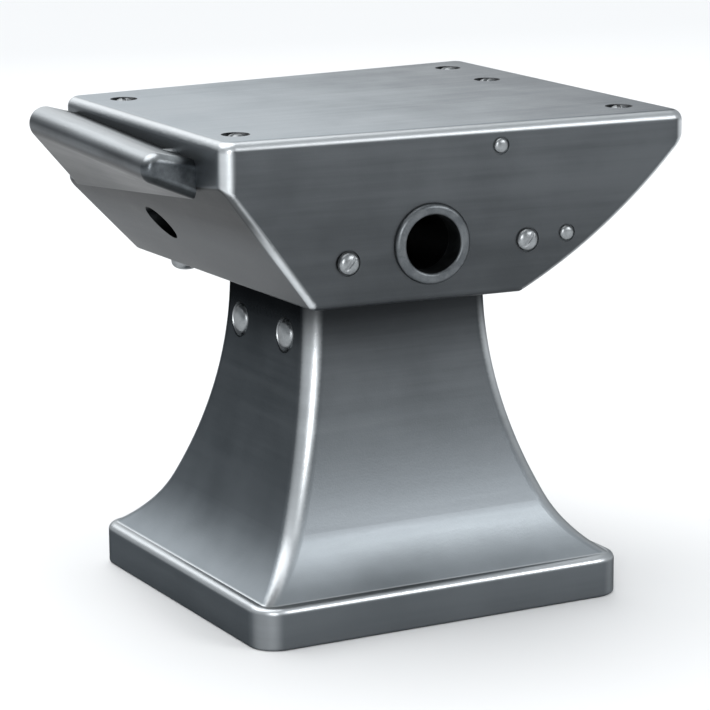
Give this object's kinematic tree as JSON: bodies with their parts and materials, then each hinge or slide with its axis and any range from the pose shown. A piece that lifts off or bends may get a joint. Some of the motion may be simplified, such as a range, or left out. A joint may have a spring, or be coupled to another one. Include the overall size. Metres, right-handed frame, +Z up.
{
  "type": "bench anvil",
  "caption": "Bench anvil with a boat-shaped head, screwed-on face plate, rounded nose bar, collared cross bore and clamped tool socket, on a flared pedestal.",
  "frame": {"origin": "middle of the foot, on the ground, below the pedestal's axis", "axes": "+X along the head towards its wide end, away from the nose bar; +Y to the rear; +Z up"},
  "size_m": [0.3374, 0.277, 0.3092],
  "materials": {
    "cast_pedestal": "satin, dark bluish grey",
    "cast_head": "satin, dark grey",
    "face_steel": "ground, satin",
    "bar_steel": "polished by wear",
    "fastener_steel": "satin",
    "shoe_brass": "machined"
  },
  "bodies": {
    "anvil": {"pedestal": "cast_pedestal", "spigot": "fastener_steel", "head_body": "cast_head", "face_plate": "face_steel", "nose_bar": "bar_steel", "bore_collar_front": "bar_steel", "bore_collar_rear": "bar_steel", "face_screw_near_left": "fastener_steel", "face_screw_far_left": "fastener_steel", "face_screw_near_right": "fastener_steel", "face_screw_far_right": "fastener_steel", "face_screw_middle_right": "fastener_steel", "rest_screw": "fastener_steel", "plate_pin": "fastener_steel", "stop_pin": "fastener_steel", "plate_bolt": "fastener_steel", "neck_screw_left_rear": "fastener_steel", "neck_screw_left_front": "fastener_steel", "neck_screw_right_rear": "fastener_steel", "neck_screw_right_front": "fastener_steel", "bar_stud_1": "fastener_steel", "bar_stud_2": "fastener_steel", "bar_stud_3": "fastener_steel"},
    "clamp_shoe": {"clamp_shoe": "shoe_brass"},
    "clamp_screw": {"clamp_screw": "fastener_steel"}
  },
  "joints": [
    {"name": "shoe_slide", "type": "slide", "parent": "anvil", "child": "clamp_shoe", "axis": [0, 1, 0], "range_m": [-0.006, 0.0012]},
    {"name": "screw_turn", "type": "hinge", "parent": "clamp_shoe", "child": "clamp_screw", "pos_m": [-0.0696, -0.1218, 0.2325], "axis": [0, 1, 0], "range_deg": [-1440, 288]}
  ],
  "couplings": [
    {"joint": "screw_turn", "follows": "shoe_slide", "rad_per_m": 4188.8}
  ]
}
